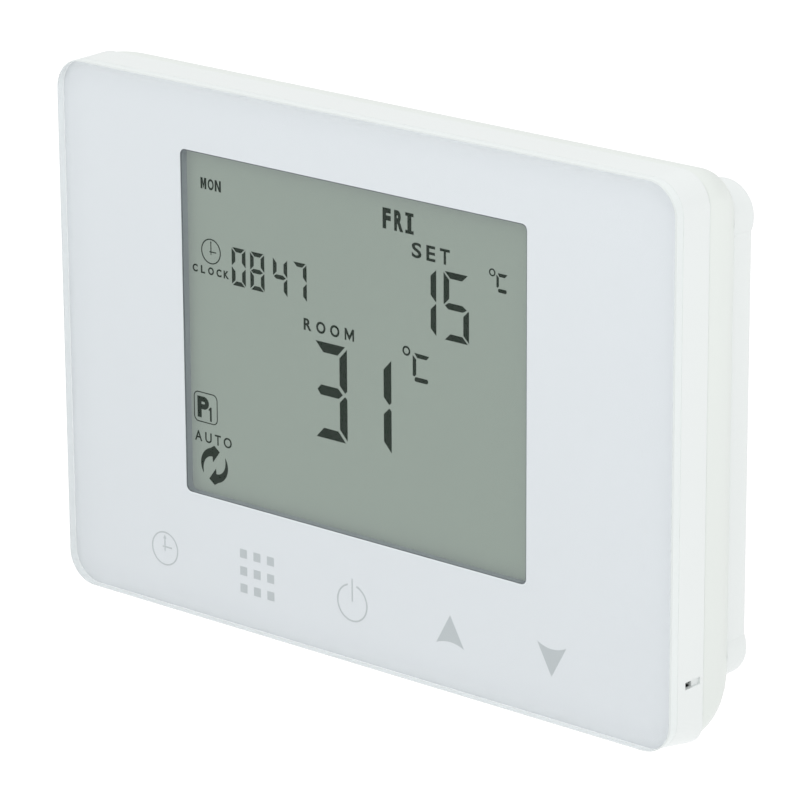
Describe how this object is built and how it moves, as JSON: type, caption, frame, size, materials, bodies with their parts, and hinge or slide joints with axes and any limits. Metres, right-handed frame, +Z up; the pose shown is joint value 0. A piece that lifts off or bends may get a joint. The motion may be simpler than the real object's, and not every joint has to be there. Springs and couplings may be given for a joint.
{
  "type": "programmable heating timer",
  "caption": "Wall-mounted programmable heating timer and room thermostat: glossy front sheet over a display window and touch keys, curved rear shell, back box with corner bosses.",
  "frame": {"origin": "centre of the back box's flat face, where it lies on the wall", "axes": "+X to the reader's right, +Z up, -Y out of the wall towards the reader; the display faces -Y"},
  "size_m": [0.1202, 0.0235, 0.0861],
  "materials": {
    "clear_sheet": "polished",
    "white_print": "satin",
    "frame_white": "satin",
    "shell_white": "satin",
    "lcd_surface": "satin",
    "lcd_glass": "polished",
    "reflector": "satin",
    "light_guide": "polished",
    "elastomer": "matte",
    "touch_foam": "matte",
    "board_green": "satin",
    "screw_steel": "brushed",
    "spring_steel": "bright",
    "crystal_can": "bright",
    "chip_black": "matte",
    "chip_ceramic": "matte",
    "led_white": "satin",
    "sensor_epoxy": "gloss",
    "terminal_plastic": "satin",
    "clamp_brass": "bright",
    "relay_case": "satin",
    "capacitor_sleeve": "gloss",
    "finger_gold": "bright",
    "holder_black": "satin",
    "battery_jacket": "gloss"
  },
  "bodies": {
    "base": {"rear_shell": "shell_white", "back_box": "frame_white", "case_screws": "screw_steel", "power_board": "board_green", "board_screws": "screw_steel", "terminal_block": "terminal_plastic", "terminal_cages": "clamp_brass", "terminal_screws": "screw_steel", "relay": "relay_case", "capacitor": "capacitor_sleeve", "contact_fingers": "finger_gold", "battery_holder": "holder_black", "battery_lower": "battery_jacket", "battery_upper": "battery_jacket", "battery_plates": "spring_steel", "battery_springs": "spring_steel"},
    "front_unit": {"front_panel": "clear_sheet", "printed_mask": "white_print", "front_frame": "frame_white", "lcd_bezel": "frame_white", "lcd_polariser": "lcd_surface", "lcd_cell": "lcd_glass", "lcd_reflector": "reflector", "light_guide": "light_guide", "backlight_leds": "led_white", "zebra_strips": "elastomer", "touch_pads": "touch_foam", "main_pcb": "board_green", "pcb_screws": "screw_steel", "controller_chip": "chip_black", "clock_crystal": "crystal_can", "small_parts": "chip_ceramic", "room_sensor": "sensor_epoxy"},
    "latch_right": {"latch_right": "shell_white"},
    "latch_left": {"latch_left": "shell_white"}
  },
  "joints": [
    {"name": "front_swing", "type": "hinge", "parent": "base", "child": "front_unit", "pos_m": [0, -0.016, 0.0428], "axis": [-1, 0, 0], "range_deg": [0, 25]},
    {"name": "latch_right_press", "type": "hinge", "parent": "base", "child": "latch_right", "pos_m": [0.056, -0.0103, -0.0326], "axis": [0, 0, -1], "range_deg": [0, 7], "stiffness_Nm_per_rad": 0.05},
    {"name": "latch_left_press", "type": "hinge", "parent": "base", "child": "latch_left", "pos_m": [-0.056, -0.0103, -0.0326], "axis": [0, 0, 1], "range_deg": [0, 7], "stiffness_Nm_per_rad": 0.05}
  ]
}
